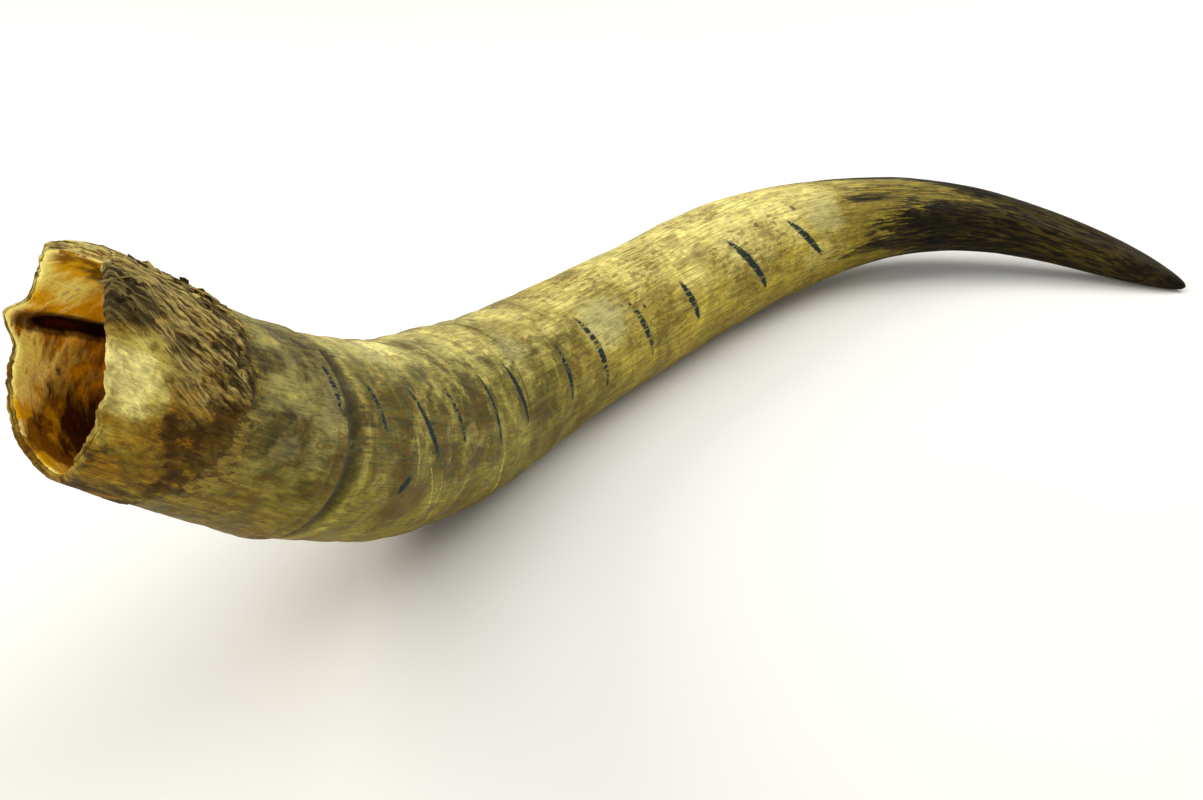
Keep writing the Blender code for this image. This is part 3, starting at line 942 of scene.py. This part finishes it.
def tipColour(at, look, colour):
    # Black and brown streaks that start at different places and close up towards the point.
    spot, along, turn = at["spot"], at["along"], at["turn"]
    long = fibres(spot, 520.0, 0.045, 0.13)
    wide = noise(spot, 120.0, 5.0, 0.66, (1.0, 1.0, 0.075), 7.0)
    patchy = noise(spot, 85.0, 5.0, 0.66, (1.0, 1.0, 0.20), 17.0)
    band = (turn - (along - 0.90) * 2.1).lobe(20.0, 16.0) * along.fall(1.02, 1.12)
    begin = along + (wide - 0.5) * 0.22 + (long["Fibre"] - 0.5) * 0.034 - band * 0.08
    for degrees, halfWidth, earlier in ((73.0, 14.0, 0.024), (101.0, 12.0, 0.056), (-22.0, 12.0, 0.08)):
        begin = begin + turn.lobe(degrees, halfWidth) * earlier
    blob = (along + (long["Fibre"] - 0.5) * 0.014).hill(0.921, 0.023) * turn.lobe(38.0, 6.0)
    black = blend(patchy.ease(0.40, 0.60) * 0.85, look["tipDark"], look["tipBrown"])
    black = blend(along.ease(1.04, 1.12) * 0.7, black, look["tipBrown"])
    under = turn.lobe(128.0, 32.0) * 0.16 + along.ease(1.06, 1.14) * 0.10
    olive = (long["Fibre"] * 0.6 + long["Streak"] * 0.4).ease(0.40, 0.80) * (
        band * 0.6 + under + patchy.ease(0.47, 0.64) * 0.22 + 0.05)
    black = blend(olive.clamped() * along.fall(1.12, 1.24), black, look["tipOlive"])
    black = blend(long["Fibre"].fall(0.05, 0.45) * 0.7, black, look["tipDark"])
    black = blend(along.ease(1.192, 1.207) * 0.8, black, look["tipDark"])
    ends = begin.ease(0.935, 0.968)
    before = begin.ease(0.870, 0.945) * (long["Streak"] * 0.6 + long["Fibre"] * 0.4)
    colour = blend(before * 0.85, colour, look["tipOlive"])
    gold = band * along.ease(0.875, 0.925)
    colour = blend(gold * 0.7, colour, look["tipGold"])
    colour = blend(gold * long["Fibre"].fall(0.25, 0.75) * 0.75, colour, look["tipBrown"])
    colour = blend(blob.ease(0.15, 0.50) * (long["Fibre"] * 0.5 + 0.5), colour, look["tipDark"])
    return blend(ends, colour, black)


def makeSkin():
    look = skinLook
    material, tree, shader = newMaterial("horn skin")
    at = readSurface(tree)
    spot = at["spot"]
    at["wander"] = noise(spot, 24.0, 5.0, 0.62) - 0.5
    grain = fibres(spot, 950.0, 0.06, 0.14)
    coarse = fibres(spot, 430.0, 0.06, 0.13)
    speckle = stain(spot, 260.0, 0.45, 0.42, 0.05, 3.0)

    colour = middleColour(at, look, coarse, speckle)
    rind, strands, shreds = baseColour(at, look, grain)
    base = (at["pastBark"] + (grain["Fibre"] - 0.5) * 0.006).fall(-0.0040, 0.0050)
    colour = blend(base, colour, rind)
    colour = lipColour(at, look, colour, shreds)
    broken = speckle["Cloud"] * 0.4 + coarse["Streak"] * 0.2 + (at["wander"] + 0.5) * 0.4
    colour = edgeLines(at, look, broken, colour)
    colour = addMarks(at, look, speckle, colour)
    colour = tipColour(at, look, colour)

    fibre = coarse["Fibre"] * 0.35 + grain["Fibre"] * 0.35 + speckle["Cloud"].ease(0.30, 0.70) * 0.30
    colour = blend(drawLines(at, paleScratches, fibre) * 0.4, colour, look["cream"])
    ink = drawLines(at, penStrokes, fibre)
    colour = blend(ink.ease(0.02, 0.40) * 0.60, colour, look["inkEdge"])
    colour = blend(ink.ease(0.14, 0.62) * 0.93, colour, look["ink"])

    away = at["fromRim"].ease(0.001, 0.006)
    # Painted shade: the underside is made a little darker and less blue.
    under = at["top"].fall(-0.85, 0.15)
    shade = grain["Fibre"] * away * 0.32 + speckle["Cloud"].ease(0.34, 0.66) * 0.50 + 0.50 - under * 0.07
    shaded = joinXyz(shade, shade, shade * (under * -0.35 + look["warmth"]))
    plug(shader.inputs["Base Color"], blend(1.0, colour, shaded, "MULTIPLY"))

    low, high = look["roughness"]
    rough = (speckle["Cloud"] * 0.5 + grain["Fibre"] * 0.3 + base * 0.4).ease(0.25, 0.85) * (high - low) + low
    plug(shader.inputs["Roughness"], rough)
    height = grain["Fibre"] * 0.30 + coarse["Streak"] * 0.35 + speckle["Cloud"] * 1.3
    bumpFrom(tree, shader, height + strands * base * 2.4, look["bump"], 0.0010)
    shader.inputs["Specular IOR Level"].default_value = look["shine"]
    return material


liningLook = {
    "gold": "f4c016",
    "amber": "885404",
    "bright": "ffea74",
    "cream": "ffec90",
    "redBrown": "3c1400",
    "deep": "0e0200",
    "glow": 0.45,               # share of light that soaks through the thin wall
    "roughness": (0.55, 0.80),
    "shine": 0.10,
    "bump": 0.55,
}


def makeLining():
    look = liningLook
    material, tree, shader = newMaterial("horn lining")
    at = readSurface(tree)
    spot, along, turn = at["spot"], at["along"], at["turn"]
    cloud = stain(at["swirled"], 48.0, 0.9, 0.50, 0.08, 11.0)
    runs = noise(at["swirled"], 110.0, 5.0, 0.64, (0.40, 0.40, 1.0), 5.0)
    grain = fibres(spot, 620.0, 0.35, 0.2)
    colour = blend(cloud["Mask"] * 0.9, look["gold"], look["amber"])
    patches = (cloud["Cloud"] - 0.5) * 2.0
    # Painted light: brighter near the rim on this side, as if lit through the thin wall, broken up by the
    # runs and clouds.
    glow = turn.lobe(314.0, 20.0) * along.fall(0.020, 0.050) + (runs - 0.5) * 1.2 + patches
    colour = blend(glow.ease(0.40, 0.90), colour, look["bright"])
    # Painted shade high inside, under the rim, broken up by the clouds.
    rimShade = turn.lobe(342.0, 14.0) * along.hill(0.022, 0.016) + patches * 0.75
    colour = blend(rimShade.ease(0.15, 0.70) * 0.8, colour, look["redBrown"])
    side = turn.lobe(262.0, 17.0) * along.fall(0.012, 0.056) + (runs - 0.5) * 2.2 - patches * 1.1
    colour = blend(side.ease(0.16, 0.56) * 0.9, colour, look["cream"])
    flecks = (cloud["Cloud"] * 0.5 + runs * 0.5).ease(0.46, 0.58) * along.fall(0.040, 0.100)
    flecks = flecks * turn.lobe(268.0, 20.0)
    colour = blend(flecks * 0.75, colour, look["bright"])
    # Amber and red-brown streaks low on this side, with painted shade growing farther in.
    lower = turn.lobe(232.0, 30.0) * along.ease(0.000, 0.078) * 0.95 + (runs - 0.5) * 2.2
    colour = blend(lower.ease(0.20, 0.45) * 0.6, colour, look["amber"])
    colour = blend(lower.ease(0.36, 0.66) * 0.92, colour, look["redBrown"])
    # Dark along the crease: partly a stain, partly painted shade in its groove.
    crease = (turn - along * creaseTwist + patches * 0.06).lobe(creaseAngle, 6.0)
    crease = crease * (along.ease(-0.004, 0.030) * 0.8 + 0.2)
    colour = blend(crease.ease(0.10, 0.35) * 0.8, colour, look["redBrown"])
    colour = blend(crease.ease(0.35, 0.70), colour, look["deep"])
    # Painted shade deep in the hollow.
    colour = blend(along.ease(0.08, 0.22), colour, look["redBrown"])
    edge = at["fromRim"].fall(0.002, 0.008) * (runs + (cloud["Cloud"] - 0.5) * 0.5).ease(0.44, 0.52)
    colour = blend(edge * 0.85, colour, look["cream"])
    shade = runs.ease(0.30, 0.70) * 0.35 + grain["Fibre"] * 0.12 + 0.70
    plug(shader.inputs["Base Color"], blend(1.0, colour, joinXyz(shade, shade, shade), "MULTIPLY"))
    low, high = look["roughness"]
    plug(shader.inputs["Roughness"], cloud["Cloud"].ease(0.3, 0.7) * (high - low) + low)
    bumpFrom(tree, shader, grain["Fibre"] * 0.4 + runs * 1.8, look["bump"], 0.0014)
    shader.inputs["Specular IOR Level"].default_value = look["shine"]
    shader.inputs["Subsurface Weight"].default_value = look["glow"]
    shader.inputs["Subsurface Radius"].default_value = (1.0, 0.72, 0.20)
    shader.inputs["Subsurface Scale"].default_value = 0.010
    return material


skin = makeSkin()
lining = makeLining()
print("stage: materials made")

path, hornLength = makePath()
sheathTree = makeSheathTree(skin, lining, hornLength)
giveNodes(path, sheathTree, sheathShape)
sheath = plainMesh(path, "hornSheath")
bpy.data.objects.remove(path)
print("stage: sheath made, path length", round(hornLength, 4))

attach(sheath, "root")
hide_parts("horn")


# Floor, lights and camera

studio = {
    "floorTone": "e9e9e6",
    "floorShade": "e4e4e1",
    "floorSize": 9.0,
    "worldTone": "ffffff",
    "worldStrength": 0.53,
    "lens": 59.85,
    "cameraPlace": (-0.8889, -0.8968, 0.6482),
    "cameraAim": (0.6130, 0.6574, -0.4384),
    "lamps": (                  # place, aim, size, power, tone
        ((-0.75, 1.55, 1.35), (-0.1, 0.0, 0.05), 1.0, 20.0, "fff8ec"),
        ((1.75, -0.45, 1.45), (0.1, 0.0, 0.05), 1.2, 23.0, "fffcf6"),
        ((0.40, 0.40, 2.10), (0.0, 0.0, 0.05), 2.4, 17.5, "ffffff"),
        ((-1.50, -0.50, 1.00), (-0.48, -0.08, 0.22), 0.6, 8.0, "fffaf0"),
    ),
}


def makeFloor():
    data = bpy.data.meshes.new("floor")
    build = bmesh.new()
    bmesh.ops.create_grid(build, x_segments=4, y_segments=4, size=studio["floorSize"] / 2.0)
    build.to_mesh(data)
    build.free()
    material, tree, shader = newMaterial("pale cloth")
    where = tree.nodes.new("ShaderNodeTexCoord")
    soft = noise(Wire(tree, where.outputs["Object"]), 3.0, 3.0, 0.5)
    colour = blend(soft, studio["floorTone"], studio["floorShade"])
    tree.links.new(colour.socket, shader.inputs["Base Color"])
    shader.inputs["Roughness"].default_value = 0.9
    shader.inputs["Specular IOR Level"].default_value = 0.1
    data.materials.append(material)
    return addObject("floor", data)


def makeLamps():
    for i, (place, aim, size, power, colour) in enumerate(studio["lamps"]):
        data = bpy.data.lights.new("softbox %d" % i, "AREA")
        data.shape = "SQUARE"
        data.size = size
        data.energy = power
        data.color = tone(colour)[:3]
        lamp = addObject(data.name, data)
        lamp.location = place
        lamp.rotation_euler = (Vector(aim) - Vector(place)).to_track_quat("-Z", "Y").to_euler()


def makeCamera():
    data = bpy.data.cameras.new("camera")
    data.lens = studio["lens"]
    data.sensor_width = 36.0
    data.clip_start = 0.05
    camera = addObject("camera", data)
    camera.location = studio["cameraPlace"]
    camera.rotation_euler = Vector(studio["cameraAim"]).to_track_quat("-Z", "Y").to_euler()
    bpy.context.scene.camera = camera


floor = makeFloor()
makeLamps()
makeCamera()
world = bpy.data.worlds.new("studio")
world.use_nodes = True
world.node_tree.nodes["Background"].inputs[0].default_value = tone(studio["worldTone"])
world.node_tree.nodes["Background"].inputs[1].default_value = studio["worldStrength"]
bpy.context.scene.world = world
bpy.context.scene.view_settings.view_transform = "Standard"
print("stage: floor, lights and camera made")
